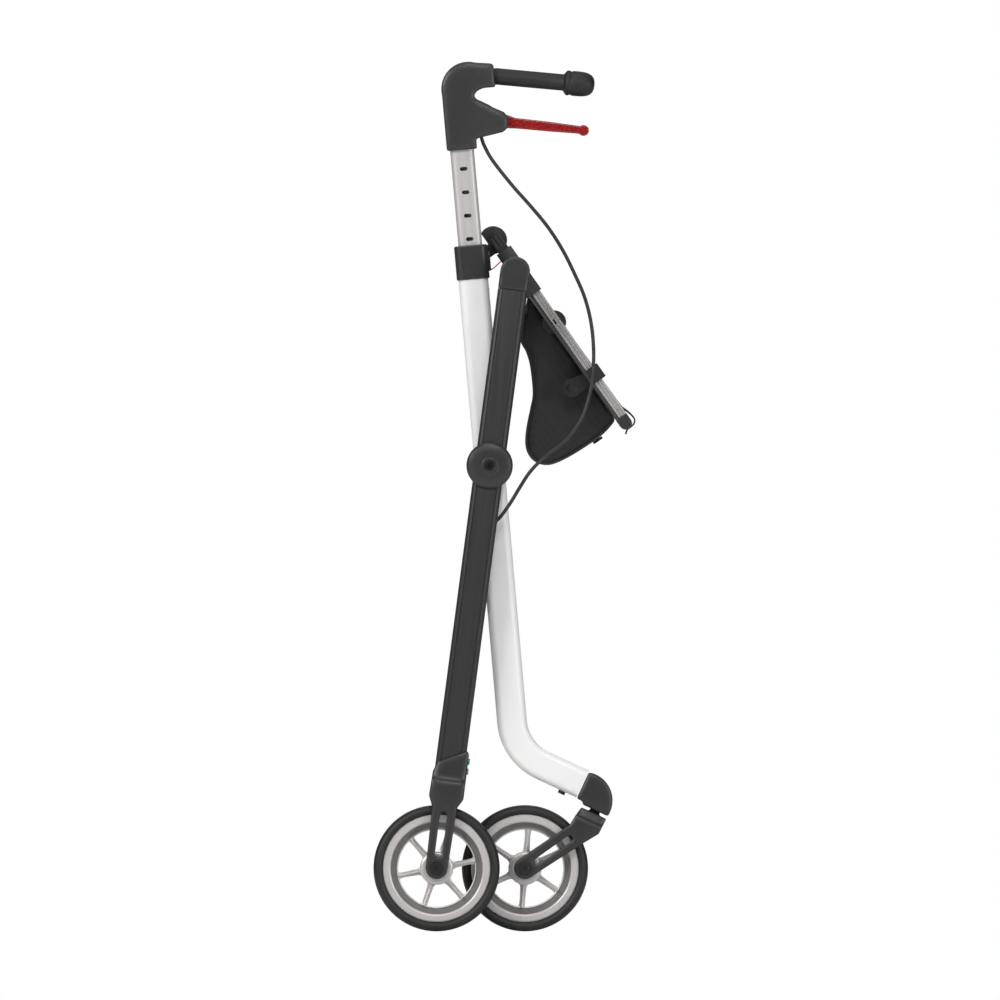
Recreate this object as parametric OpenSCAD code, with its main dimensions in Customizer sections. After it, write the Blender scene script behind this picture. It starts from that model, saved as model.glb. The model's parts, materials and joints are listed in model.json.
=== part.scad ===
// Folding four-wheeled rollator walker, standing folded.
// +X is forward, +Y is the left-hand side, +Z is up. The floor is z = 0.

/* [Wheels] */
// Outer diameter of every wheel
wheel_d = 140; // [130:1:145]
// Width of every tyre
tyre_w = 28; // [24:1:28]
// Number of spokes in a rim
spokes = 6; // [5:1:8]

/* [Frame] */
// Lean of the black rear legs from vertical, top forward
leg_lean = 7.5; // [6:0.5:9]
// Lean of the white front tubes from vertical, top rearward
tube_lean = 5; // [4:0.5:6]
// Width of legs and front tubes seen from the side
tube_w = 33; // [30:1:34]
// Main pivot to rear axle, along the leg
leg_low = 450; // [440:1:460]
// Main pivot to seat pivot, along the leg
leg_high = 217; // [210:1:220]
// Middle of a front tube from the centre plane
front_y = 238; // [235:1:238]
// Middle of a rear leg from the centre plane
rear_y = 272; // [272:1:275]

/* [Seat] */
// Angle of the seat rails below level when folded
rail_tilt = 54.8; // [54:0.1:56]
// Height of a seat rail's section
rail_h = 13; // [12:0.5:13]
// Middle of a seat rail from the centre plane
rail_y = 212; // [211:1:212]
// How far the rails slide as the walker opens
seat_slide = 148; // [146:0.5:148]

/* [Handle] */
// Pitch of the height slots
slot_pitch = 26; // [24:0.5:27]
// Diameter of the grip bar
grip_d = 18.4; // [17:0.1:20]

/* [Hidden] */
$fn = 64;
pivot_x = -17;
axle_z = wheel_d / 2;
pivot_z = axle_z + leg_low * cos(leg_lean);
tube_t = 25;
leg_t = 22;
open_turn = 25;
rear_turn = 22.5;

// Front tube, measured down from the main pivot along its axis
corner_d = 319;
foot_tilt = 25;
bend_r = 58;
bend_turn = 90 - tube_lean - foot_tilt;
bend_tan = bend_r * tan(bend_turn / 2);
foot_len = 83;
// Collar and handle, measured up from the main pivot
collar_low = 207;
collar_high = 245;
button_t = 226;
tube_top = 241;
inner_w = 26.5;
inner_t = 19;
inner_low = 114;
housing_low = 351;

// Caster swivel point, from the main pivot
stem_x = 116.5;
caster_trail = 43.5;
caster_drop = 89.7;
stem_z = axle_z - pivot_z - caster_trail * sin(foot_tilt) + caster_drop * cos(foot_tilt);

// Seat, measured along the rail from the seat pivot
rail_off = 3;
rail_back = -22;
rail_front = 199;
sleeve_back = -26.5;
sleeve_front = 32.5;
hanger_back = 135;
hanger_len = 17.5;
catch_r = 7;
hook_drop = 10;
hook_u = -49.4;
screw_u = 71;
strap_u = -18;
catch_ahead = seat_slide - hook_u;
catch_open_x = leg_high * sin(leg_lean + rear_turn) - catch_ahead;
catch_open_z = leg_high * cos(leg_lean + rear_turn) + rail_off - hook_drop - catch_r - 0.3;
catch_x = catch_open_x * cos(open_turn) + catch_open_z * sin(open_turn);
catch_z = catch_open_z * cos(open_turn) - catch_open_x * sin(open_turn);

// Brake cable on the left side: x and z from the main pivot, y outward
CABLE = [[-11, 238, 372], [-9, 238, 363], [-5, 238, 352.5], [4, 240, 337], [25, 242, 310.5],
         [44.5, 245, 288.5], [64, 247, 265], [80.5, 249, 239.5], [94.3, 251, 212],
         [105.4, 253, 186], [112.4, 255, 158], [115.2, 257, 129], [114.4, 258, 103],
         [111, 259, 80], [104, 261, 57], [94, 263, 40], [83, 265, 27], [69, 267, 16],
         [57, 268, 6], [44, 269, -8], [33, 270, -25], [22, 271, -43], [10, 272, -59],
         [0, 272, -66]];

// ---- frames of reference -------------------------------------------------

// Puts a shape on one side: side = 1 is the left, -1 mirrors it to the right
module on_side(side) {
  if (side > 0) children();
  else mirror([0, 1, 0]) children();
}

module both() {
  on_side(1) children();
  on_side(-1) children();
}

// Origin at the main pivot
module at_pivot() {
  translate([pivot_x, 0, pivot_z]) children();
}

// Along the front tube: +Z runs up the tube from the main pivot
module in_tube() {
  at_pivot() rotate([0, -tube_lean, 0]) children();
}

// Along the rear leg: +Z runs up the leg from the main pivot
module in_leg() {
  at_pivot() rotate([0, leg_lean, 0]) children();
}

// At the swivel point: +Z runs up the swivel axis
module in_caster() {
  at_pivot() translate([stem_x, 0, stem_z]) rotate([0, foot_tilt, 0]) children();
}

// Along the seat rail: +X runs forward along the rail, the origin is on its
// axis beside the seat pivot, +Z is the seat's top side
module in_rail() {
  in_leg() translate([0, 0, leg_high]) rotate([0, -leg_lean, 0]) rotate([0, rail_tilt, 0])
    translate([0, 0, rail_off]) children();
}

// A shape drawn in the side plane (x, z), with thickness t, its middle at y
module slab(y, t) {
  translate([0, y + t / 2, 0]) rotate([90, 0, 0]) linear_extrude(t) children();
}

// A round bar across the walker at y0 to y1
module bar(y0, y1, r) {
  translate([0, y0, 0]) rotate([-90, 0, 0]) cylinder(h = y1 - y0, r = r);
}

// Rectangle with round corners, exact arcs
module round_rect(w, h, r) {
  square([w - 2 * r, h], center = true);
  square([w, h - 2 * r], center = true);
  for (i = [-1, 1], j = [-1, 1])
    translate([i * (w / 2 - r), j * (h / 2 - r)]) circle(r);
}

// Slot outline with round ends
module slot_2d(length, w) {
  square([length - w, w], center = true);
  for (i = [-1, 1]) translate([i * (length - w) / 2, 0]) circle(w / 2);
}

// ---- front frame ---------------------------------------------------------

// The tube's corners are many short flats, so that its bend and its straight runs share edges
corner_r = 8;
corner_steps = 7;
function corner(x, y, from) =
  [for (k = [0 : corner_steps]) let (a = from + 90 * k / corner_steps)
    [x + corner_r * cos(a), y + corner_r * sin(a)]];

module tube_section() {
  x = tube_w / 2 - corner_r;
  y = tube_t / 2 - corner_r;
  polygon(concat(corner(x, y, 0), corner(-x, y, 90), corner(-x, -y, 180), corner(x, -y, 270)));
}

// Shape of one front tube without its hollow top, pivot hole and catch seats
module front_tube_shape() {
  in_tube() translate([0, front_y, 0]) {
    translate([0, 0, -corner_d + bend_tan])
      linear_extrude(tube_top + corner_d - bend_tan) tube_section();
    translate([0, 0, -corner_d + bend_tan]) translate([bend_r, 0, 0]) rotate([90, 0, 0])
      rotate([0, 0, 180]) rotate_extrude(angle = bend_turn) translate([bend_r, 0])
      tube_section();
    translate([0, 0, -corner_d]) rotate([0, 180 - bend_turn, 0])
      translate([0, 0, bend_tan]) linear_extrude(foot_len - bend_tan) tube_section();
  }
}

module front_tube(side) {
  color("white") on_side(side) difference() {
    front_tube_shape();
    in_tube() translate([0, front_y, 34]) linear_extrude(240)
      round_rect(inner_w + 0.8, inner_t + 0.8, 6);
    at_pivot() bar(front_y - 20, front_y + 20, 6.1);
    in_tube() translate([8, front_y, button_t]) rotate([0, 90, 0]) cylinder(h = 20, r = 3.2);
  }
}

module collars() {
  color([0.1, 0.1, 0.1]) both() in_tube() translate([0, front_y, 0]) difference() {
    translate([0, 0, collar_low]) linear_extrude(collar_high - collar_low)
      round_rect(tube_w + 3.6, tube_t + 4, 8);
    translate([0, 0, collar_low - 1]) linear_extrude(tube_top - collar_low + 1)
      round_rect(tube_w + 0.04, tube_t + 0.04, 8);
    translate([0, 0, tube_top - 1]) linear_extrude(10)
      round_rect(inner_w + 0.8, inner_t + 0.8, 6);
    translate([0, 0, button_t]) rotate([0, 90, 0]) linear_extrude(40) slot_2d(22.8, 10.8);
  }
}

module seat_catch_tube() {
  color("silver") at_pivot() translate([catch_x, 0, catch_z])
    bar(-front_y + tube_t / 2, front_y - tube_t / 2, catch_r);
}

module pivot_tube() {
  color([0.1, 0.1, 0.1]) at_pivot() difference() {
    bar(-front_y + tube_t / 2, front_y - tube_t / 2, 10);
    bar(-front_y, -front_y + 50, 6.1);
    bar(front_y - 50, front_y, 6.1);
  }
}

module lower_cross_tube() {
  color("white") in_tube() translate([0, 0, -corner_d + 49])
    bar(-front_y + tube_t / 2, front_y - tube_t / 2, 10);
}

// Elbow outline in the swivel frame
module head_2d() {
  intersection() {
    translate([-16, 6]) circle(31.8);
    translate([-24.4, 1.2]) square([60, 50]);
  }
}

module caster_heads() {
  color([0.1, 0.1, 0.1]) both() in_caster() difference() {
    slab(front_y, 28) head_2d();
    translate([0, front_y, -1]) cylinder(h = 22, r = 6.1);
    translate([-40, front_y - 20, -1]) cube([24, 40, 5.5]);
  }
}

module head_pins() {
  color([0.1, 0.1, 0.1]) both() in_caster()
    translate([-42.2, front_y, 1.7]) cylinder(h = 3.6, r = 4);
}

module height_button(side) {
  color([0.1, 0.1, 0.1]) on_side(side) in_tube() translate([0, front_y, button_t]) {
    translate([17.9, 0, 0]) rotate([0, 90, 0]) linear_extrude(2.8) slot_2d(22, 10);
    translate([14.9, 0, 0]) rotate([0, 90, 0]) cylinder(h = 3.1, r = 2.4);
  }
}

// ---- rear frame ----------------------------------------------------------

module leg_section() {
  difference() {
    round_rect(tube_w, leg_t, 6);
    for (i = [-1, 1], j = [-1, 1])
      translate([i * 10.8, j * leg_t / 2]) square([1.8, 2.4], center = true);
  }
}

leg_top = 196;
leg_foot = -344;

module rear_leg(side) {
  color([0.15, 0.15, 0.16]) on_side(side) difference() {
    in_leg() translate([0, rear_y, leg_foot]) linear_extrude(leg_top - leg_foot)
      leg_section();
    in_leg() translate([0, rear_y, leg_foot - 1]) linear_extrude(leg_top - leg_foot - 7)
      round_rect(tube_w - 5, leg_t - 6, 4);
    at_pivot() bar(rear_y - 20, rear_y + 20, 6.1);
    // the cable's way in
    at_pivot() translate([13, rear_y, -55]) rotate([0, -130, 0]) cylinder(h = 22, r = 3.8);
  }
}

module leg_caps() {
  color([0.1, 0.1, 0.1]) both() in_leg() difference() {
    union() {
      slab(rear_y, leg_t) translate([0, leg_high]) circle(tube_w / 2);
      translate([0, rear_y, leg_top]) linear_extrude(leg_high - leg_top)
        round_rect(tube_w, leg_t, 3);
    }
    translate([0, 0, leg_high]) bar(rear_y - 20, rear_y + 6, 5.02);
  }
}

module fork_2d() {
  polygon([[-13.8, -332.6], [17.2, -316.6], [19.4, -321], [19.6, -371], [13.8, -381],
           [12.2, -leg_low], [-12.2, -leg_low], [-13.8, -383], [-19, -371], [-18.2, -343]]);
  translate([0, -leg_low]) circle(12.2);
}

adjuster_z = [-328.5, -339.5];

module rear_forks() {
  fork_t = 46;
  color([0.1, 0.1, 0.1]) both() in_leg() difference() {
    slab(rear_y, fork_t) fork_2d();
    // the wheel's space between the arms
    slab(rear_y, 32) union() {
      translate([0, -leg_low]) circle(wheel_d / 2 + 4);
      translate([-30, -leg_low - 30]) square([60, 40]);
    }
    // shoulders narrow to the leg's thickness
    for (j = [-1, 1]) translate([-30, rear_y + j * 25 - 10, -352]) cube([60, 20, 60]);
    // socket for the leg
    translate([0, rear_y, leg_foot]) linear_extrude(60) round_rect(tube_w + 0.02, leg_t + 0.02, 6);
    // brake shoe's pocket
    translate([-11.3, rear_y - 11.3, -380]) cube([22.6, 22.6, 22]);
    // slot through both arms
    slab(rear_y, 60) translate([0, -412.5]) rotate(90) slot_2d(51, 8);
    translate([0, 0, -leg_low]) bar(rear_y - 30, rear_y + 30, 4.1);
    for (z = adjuster_z) translate([19.4, rear_y, z]) rotate([0, 90, 0]) cylinder(h = 4, r = 3.41);
  }
}

module rear_cross_tube() {
  color([0.1, 0.1, 0.1]) in_leg() translate([0, 0, -160])
    bar(-rear_y + leg_t / 2, rear_y - leg_t / 2, 9);
}

module pivot_caps() {
  color([0.1, 0.1, 0.1]) both() at_pivot() translate([0, rear_y + leg_t / 2, 0])
    rotate([-90, 0, 0]) rotate_extrude()
    polygon([[6.1, 0], [25.8, 0], [25.8, 2], [23.5, 4.6], [18, 6], [10.8, 6.6],
             [10.6, 5.8], [9, 5.8], [8.4, 6.4], [6.1, 6.4]]);
}

module pivot_bolts() {
  color("dimgray") both() at_pivot() {
    difference() {
      union() {
        bar(front_y - 45, rear_y + 12, 6);
        bar(rear_y + 12, rear_y + 17, 6);
      }
      bar(rear_y + 13, rear_y + 20, 3.2);
    }
    // washer between the tube and the leg
    difference() {
      bar(front_y + tube_t / 2 + 0.3, rear_y - leg_t / 2 - 0.3, 15);
      bar(front_y, rear_y, 6.05);
    }
  }
}

module leg_bumpers() {
  color([0.08, 0.08, 0.08]) both() in_leg()
    translate([tube_w / 2, rear_y, leg_top - 20]) rotate([0, 90, 0]) cylinder(h = 2.2, r = 4);
}

// A shouldered axle bolt with two bearings, at the origin along Y
module axle_set(arm_out, bore_r, bearing_r) {
  difference() {
    bar(-arm_out - 2.6, arm_out + 2.6, 4);
    bar(arm_out + 0.8, arm_out + 5, 2);
  }
  for (j = [-1, 1]) {
    difference() {
      translate([0, j * (arm_out + 1.4), 0]) bar(-1.3, 1.3, 6.6);
      bar(-arm_out - 5, arm_out + 5, 4.02);
    }
    difference() {
      translate([0, j * 9, 0]) bar(-3.5, 3.5, bearing_r);
      bar(-30, 30, 4.02);
    }
  }
}

module rear_axles() {
  color("silver") both() in_leg() translate([0, rear_y, -leg_low]) axle_set(23.1, 4, 11);
}

module brake_adjusters() {
  color("limegreen") both() in_leg() for (z = adjuster_z)
    translate([19.4, rear_y, z]) rotate([0, 90, 0]) cylinder(h = 1.6, r = 3.4);
}

module seat_pivot_pins() {
  color("silver") both() in_leg() translate([0, 0, leg_high]) {
    bar(rail_y + 9, rear_y + 5.9, 5);
    difference() {
      bar(rail_y + 20.3, rear_y - leg_t / 2 - 0.1, 8);
      bar(200, rear_y, 5.02);
    }
  }
}

// ---- seat ----------------------------------------------------------------

module seat_sleeves() {
  color([0.1, 0.1, 0.1]) both() difference() {
    union() {
      in_rail() translate([sleeve_back, rail_y - 9.7, -9.5])
        cube([sleeve_front - sleeve_back, 19.4, 19]);
      in_leg() translate([0, 0, leg_high]) bar(rail_y + 9, rail_y + 20, 9);
    }
    in_leg() translate([0, 0, leg_high]) bar(rail_y + 8.6, rail_y + 30, 5.05);
    // open on the inner side, for what is fastened to the rail there
    in_rail() translate([-100, rail_y - 12, -5.5]) cube([300, 6, 11]);
    in_rail() translate([-100, rail_y - 7.4, -rail_h / 2 - 0.4])
      cube([300, 14.8, rail_h + 0.8]);
    // rounded long edges on the outer side
    in_rail() translate([-100, rail_y + 8.2, 8]) cube([300, 4, 4]);
    in_rail() translate([-100, rail_y + 8.2, -12]) cube([300, 4, 4]);
  }
}

module rail_section() {
  difference() {
    square([14, rail_h], center = true);
    translate([7, 0.8]) square([3, 2], center = true);
    translate([-7, 1.5]) square([6, 2.2], center = true);
    translate([7, -5.2]) square([1.6, 1.4], center = true);
    translate([7, 5]) square([1.6, 1.4], center = true);
  }
}

module seat_rail(side) {
  color("silver") on_side(side) difference() {
    in_rail() translate([rail_back, rail_y, 0]) rotate([0, 90, 0]) rotate(90)
      linear_extrude(rail_front - rail_back) rail_section();
    in_rail() translate([screw_u, 0, 0]) bar(rail_y - 20, rail_y + 20, 3.02);
  }
}

cap_back = -39;

module rail_rear_caps() {
  color([0.1, 0.1, 0.1]) both() in_rail() difference() {
    union() {
      slab(rail_y, 14) translate([cap_back, 0]) circle(rail_h / 2);
      translate([cap_back, rail_y - 7, -rail_h / 2]) cube([rail_back - cap_back, 14, rail_h]);
    }
    for (k = [-1, 1]) translate([cap_back - 12, rail_y + 6, k * 2.4 - 0.7]) cube([18, 4, 1.4]);
  }
}

module rail_front_caps() {
  color([0.1, 0.1, 0.1]) both() in_rail() {
    slab(rail_y, 15) translate([rail_front + 9, 0]) circle(7.2);
    translate([rail_front, rail_y - 7.5, -7.2]) cube([9, 15, 14.4]);
  }
}

module seat_hooks() {
  hook_t = 4;
  color([0.1, 0.1, 0.1]) both() in_rail() difference() {
    slab(rail_y - 9.6, hook_t) difference() {
      union() {
        intersection() {
          translate([-42.4, -2.9]) circle(15.5);
          translate([-70, -hook_drop]) square([60, 40]);
        }
        polygon([[hook_u + 7.4, -hook_drop - 14], [hook_u + 14, -hook_drop - 18],
                 [-28.5, -hook_drop - 9], [-28.5, 0], [hook_u + 7.4, 0]]);
      }
    }
  }
  color([0.1, 0.1, 0.1]) both() in_rail() translate([-38, rail_y - 7.6, -4]) cube([6, 0.61, 8]);
}

module seat_cross_bar() {
  bar_end = rail_y - 12.5;
  color([0.1, 0.1, 0.1]) in_rail() translate([screw_u, 0, 0]) {
    bar(-bar_end, bar_end, 5);
    both() bar(bar_end, bar_end + 2.3, 13.2);
    both() bar(bar_end + 2.3, rail_y - 7, 5);
  }
}

module rail_screws() {
  color([0.2, 0.2, 0.2]) both() in_rail() translate([screw_u, 0, 0])
    bar(rail_y - 6.9, rail_y + 6.8, 3);
}

module seat_cloth() {
  // stretched over the cross bar
  color([0.12, 0.12, 0.13]) in_rail() translate([-27, -rail_y + 13, 5.05])
    cube([rail_front + 35, 2 * rail_y - 26, 2]);
}

bag_y = 184;

module bag_2d() {
  polygon([[30, -7], [64, -41], [78, -43.5], [92, -48], [107, -55.5], [123, -65.5], [135, -78],
           [151, -94], [164, -104], [174, -107.5], [185, -107], [194.5, -100], [199.3, -90],
           [202.5, -72], [204, -46], [203.5, -26], [199, -7.2]]);
}

module bag() {
  color([0.12, 0.12, 0.13]) in_rail() difference() {
    slab(0, 2 * bag_y) bag_2d();
    slab(0, 2 * bag_y - 12) polygon([[45, 0], [72, -34], [104, -48], [128, -63], [145, -80],
                                     [164, -98], [184, -100], [194, -85], [197, -60], [193, 0]]);
  }
}

module bag_buckle() {
  color([0.1, 0.1, 0.1]) in_rail() translate([204.1, -14, -42]) cube([3, 28, 12]);
}

module pull_strap() {
  color("red") in_rail() translate([strap_u, -12, -30]) cube([1.2, 24, 35]);
}

module bag_hangers() {
  color([0.1, 0.1, 0.1]) both() in_rail() {
    difference() {
      translate([hanger_back, rail_y - 9.5, -4]) cube([hanger_len, 19, 16.4]);
      translate([0, rail_y - 7.3, -20]) cube([400, 14.6, 20 + rail_h / 2 + 0.4]);
    }
    slab(rail_y - 8.7, 1.6) polygon([[hanger_back + 1.2, 0], [hanger_back + hanger_len - 0.5, 0],
                                     [hanger_back + 16.5, -26], [hanger_back - 2.5, -26]]);
    translate([hanger_back + 6.3, 0, -26.5]) {
      bar(rail_y - 9.5, rail_y - 7.9, 10.6);
      bar(rail_y - 8, rail_y - 6.6, 4.2);
    }
  }
}

// ---- handles -------------------------------------------------------------

module height_tube(side) {
  color("silver") on_side(side) in_tube() difference() {
    translate([0, front_y, inner_low]) linear_extrude(372 - inner_low) difference() {
      round_rect(inner_w, inner_t, 6);
      round_rect(inner_w - 4, inner_t - 4, 4);
    }
    for (k = [-3 : 4]) translate([0, front_y, button_t + k * slot_pitch]) {
      rotate([0, 90, 0]) cylinder(h = 30, r = 3.2);
      translate([0, 5, 0]) slab(5, 20) slot_2d(8.4, 4.3);
    }
  }
}

module housing_body() {
  difference() {
    union() {
      slab(front_y, 32) translate([-16.8, 351]) square([33.6, 68]);
      slab(front_y, 32) translate([13, 417.8]) circle(30.2);
      slab(front_y, 32) polygon([[11, 415.8], [11, 447.9], [41, 443.8], [43, 441.4], [43, 418.8],
                                 [41.4, 417.2]]);
      slab(front_y, 32) polygon([[10, 410], [16, 407], [50.6, 388.6], [53.4, 383.3],
                                 [52.3, 370.6], [47.2, 366.8], [16, 362], [10, 362]]);
    }
    slab(front_y, 34) polygon([[18.9, 409], [20.6, 405.8], [24.6, 403.9], [51, 388.4],
                               [80, 386], [80, 417.3], [29.5, 417.3], [23, 415],
                               [19.6, 411.8]]);
  }
}

module handle_housing(side) {
  color([0.1, 0.1, 0.1]) on_side(side) in_tube() difference() {
    housing_body();
    translate([0, front_y, 300]) linear_extrude(73) round_rect(inner_w + 0.02, inner_t + 0.02, 6);
    // the lever's space inside the beak
    slab(front_y, 13) polygon([[15, 392], [26, 402], [60, 392], [60, 355], [30, 360], [15, 374]]);
    translate([26, front_y, 383]) bar(-11, 11, 2.52);
    in_grip() translate([0, 0, -spigot_len]) cylinder(h = spigot_len + 6, d = spigot_d + 0.02);
    // the cable's way in
    translate([25, front_y, 350]) rotate([0, -11, 0]) cylinder(h = 24, r = 3.2);
  }
}

grip_len = 86;
grip_start = 2.6;
spigot_d = 14;
spigot_len = 10;

// Puts a shape on the grip's axis: the origin in the housing's mouth, +Z along the grip
module in_grip() {
  translate([43, front_y, 429.3]) rotate([0, 100.2, 0]) children();
}

module grip(side) {
  color([0.08, 0.08, 0.08]) on_side(side) in_tube() in_grip() {
    translate([0, 0, -spigot_len]) cylinder(h = spigot_len + 10, d = spigot_d);
    translate([0, 0, grip_start]) cylinder(h = grip_len - grip_start, d = grip_d);
    translate([0, 0, grip_len - 6]) cylinder(h = 6, d1 = 22, d2 = 27.4);
    translate([0, 0, grip_len - 0.5]) cylinder(h = 12, r = 13.7);
    translate([0, 0, grip_len + 11]) sphere(13.7);
  }
}

module lever_pin(side) {
  color("silver") on_side(side) in_tube() translate([26, front_y, 383]) bar(-10.5, 10.5, 2.5);
}

module lever_body() {
  slab(front_y, 12) polygon([[20, 379], [20, 388], [27, 389.5], [53, 385.6], [62, 381.3],
                             [100, 373.6], [133, 366], [131, 357.6], [100, 362.6],
                             [62, 369.4], [53, 370.4], [30, 374]]);
  slab(front_y, 12) translate([136, 360.8]) circle(6.1);
}

module brake_lever(side) {
  color("firebrick") on_side(side) in_tube() difference() {
    lever_body();
    translate([26, front_y, 383]) bar(-10, 10, 2.56);
  }
}

module brake_shoe(side) {
  color([0.1, 0.1, 0.1]) on_side(side) in_leg() difference() {
    translate([-10.8, rear_y - 10.8, -378]) cube([21.6, 21.6, 16]);
    translate([0, 0, -leg_low]) bar(rear_y - 20, rear_y + 20, wheel_d / 2 + 3);
  }
}

// ---- wheels --------------------------------------------------------------

module wheel_rim() {
  // rim channel
  rotate([-90, 0, 0]) difference() {
    rotate_extrude($fn = 96) polygon([[45.4, -8], [51, -9.5], [52.6, -11], [59.2, -11],
      [59.2, 11], [52.6, 11], [51, 9.5], [45.4, 8], [42.7, 7], [42.7, -7]]);
  }
  // hub
  difference() {
    union() {
      bar(-13, 13, 15);
      bar(-9.5, 9.5, 18.3);
    }
    bar(-20, 20, 9.5);
    bar(5.3, 20, 11.05);
    bar(-20, -5.3, 11.05);
  }
  for (i = [0 : spokes - 1]) rotate([0, 12 + i * 360 / spokes, 0]) {
    translate([16, -4, -3]) cube([28, 8, 6]);
    translate([16, -6.5, -1.1]) cube([28, 13, 2.2]);
  }
}

module tyre() {
  r = wheel_d / 2;
  rotate([-90, 0, 0]) rotate_extrude($fn = 96) union() {
    polygon([[59.3, -11.5], [61.5, -13.2], [64, -tyre_w / 2], [r - 3.4, -tyre_w / 2 + 1.2],
             [r - 1, -tyre_w / 2 + 4.6], [r, -tyre_w / 2 + 9], [r, tyre_w / 2 - 9],
             [r - 1, tyre_w / 2 - 4.6], [r - 3.4, tyre_w / 2 - 1.2], [64, tyre_w / 2],
             [61.5, 13.2], [59.3, 11.5]]);
  }
}

module at_rear_wheel(side) {
  on_side(side) in_leg() translate([0, rear_y, -leg_low]) children();
}

module at_front_wheel(side) {
  on_side(side) in_caster() translate([-caster_trail, front_y, -caster_drop]) children();
}

module tyre_rear(side) { color([0.06, 0.06, 0.06]) at_rear_wheel(side) tyre(); }
module rim_rear(side) { color([0.75, 0.74, 0.73]) at_rear_wheel(side) wheel_rim(); }
module tyre_front(side) { color([0.06, 0.06, 0.06]) at_front_wheel(side) tyre(); }
module rim_front(side) { color([0.75, 0.74, 0.73]) at_front_wheel(side) wheel_rim(); }

module caster_2d() {
  polygon([[-15.5, -2], [15.2, -2], [14.6, -20.7], [3, -38], [-35, -98.5], [-54, -83.5],
           [-19, -25], [-17.5, -12.5]]);
  translate([-caster_trail, -caster_drop]) circle(12.2);
}

module caster_fork(side) {
  color([0.1, 0.1, 0.1]) on_side(side) in_caster() difference() {
    union() {
      slab(front_y, 42) caster_2d();
      translate([0, front_y, -3]) cylinder(h = 22, r = 6);
    }
    slab(front_y, 32) union() {
      translate([-caster_trail, -caster_drop]) circle(wheel_d / 2 + 3);
      polygon([[-25, -60], [-90, -60], [-90, -120], [0, -120], [0, -80]]);
    }
    for (j = [-1, 1]) translate([-40, front_y + j * 24 - 10, -12]) cube([80, 20, 20]);
    slab(front_y, 60) translate([-23.2, -57.9]) rotate(60.5) slot_2d(51, 7);
    translate([-caster_trail, 0, -caster_drop]) bar(front_y - 30, front_y + 30, 4.1);
  }
}

module caster_axle(side) {
  color("silver") at_front_wheel(side) axle_set(21.1, 4, 11);
}

// ---- brake cables --------------------------------------------------------

cable_r = 2;
cable_sides = 8;

function unit(v) = v / norm(v);
function heading(p, i) = unit(p[min(i + 1, len(p) - 1)] - p[max(i - 1, 0)]);
function ring(p, i) =
  let (h = heading(p, i), u = unit(cross(h, [0, 1, 0])), w = cross(h, u))
  [for (k = [0 : cable_sides - 1])
    let (a = k * 360 / cable_sides) p[i] + cable_r * (cos(a) * u + sin(a) * w)];

// Smooth points between the route's own points (Catmull-Rom)
function spline(p, i, t) =
  let (a = p[max(i - 1, 0)], b = p[i], c = p[i + 1], d = p[min(i + 2, len(p) - 1)])
  0.5 * ((2 * b) + (c - a) * t + (2 * a - 5 * b + 4 * c - d) * t * t
         + (3 * b - a - 3 * c + d) * t * t * t);
function smooth(p, n) = concat(
  [for (i = [0 : len(p) - 2], k = [0 : n - 1]) spline(p, i, k / n)], [p[len(p) - 1]]);

module cable_tube(p) {
  rings = len(p);
  n = cable_sides;
  points = [for (i = [0 : rings - 1]) each ring(p, i)];
  sides = [for (i = [0 : rings - 2], k = [0 : n - 1])
    [i * n + k, i * n + (k + 1) % n, (i + 1) * n + (k + 1) % n, (i + 1) * n + k]];
  ends = [[for (k = [0 : n - 1]) n - 1 - k], [for (k = [0 : n - 1]) (rings - 1) * n + k]];
  polyhedron(points, concat(sides, ends));
}

module brake_cable(side) {
  color([0.08, 0.08, 0.08]) on_side(side) at_pivot() cable_tube(smooth(CABLE, 3));
}

front_tube(1);  // front_tube_left
front_tube(-1);  // front_tube_right
collars();
seat_catch_tube();
pivot_tube();
lower_cross_tube();
caster_heads();
head_pins();
height_button(1);  // height_button_left
height_button(-1);  // height_button_right
rear_leg(1);  // rear_leg_left
rear_leg(-1);  // rear_leg_right
leg_caps();
rear_forks();
rear_cross_tube();
pivot_caps();
pivot_bolts();
leg_bumpers();
rear_axles();
brake_adjusters();
seat_pivot_pins();
seat_sleeves();
seat_rail(1);  // seat_rail_left
seat_rail(-1);  // seat_rail_right
rail_rear_caps();
rail_front_caps();
seat_hooks();
seat_cross_bar();
rail_screws();
seat_cloth();
bag();
bag_buckle();
pull_strap();
bag_hangers();
height_tube(1);  // height_tube_left
height_tube(-1);  // height_tube_right
handle_housing(1);  // handle_housing_left
handle_housing(-1);  // handle_housing_right
grip(1);  // grip_left
grip(-1);  // grip_right
lever_pin(1);  // lever_pin_left
lever_pin(-1);  // lever_pin_right
brake_lever(1);  // brake_lever_left
brake_lever(-1);  // brake_lever_right
brake_shoe(1);  // brake_shoe_left
brake_shoe(-1);  // brake_shoe_right
caster_fork(1);  // caster_fork_left
caster_fork(-1);  // caster_fork_right
caster_axle(1);  // caster_axle_left
caster_axle(-1);  // caster_axle_right
tyre_rear(1);  // tyre_rear_left
tyre_rear(-1);  // tyre_rear_right
rim_rear(1);  // rim_rear_left
rim_rear(-1);  // rim_rear_right
tyre_front(1);  // tyre_front_left
tyre_front(-1);  // tyre_front_right
rim_front(1);  // rim_front_left
rim_front(-1);  // rim_front_right
brake_cable(1);  // brake_cable_left
brake_cable(-1);  // brake_cable_right
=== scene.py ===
import json
import math

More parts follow.
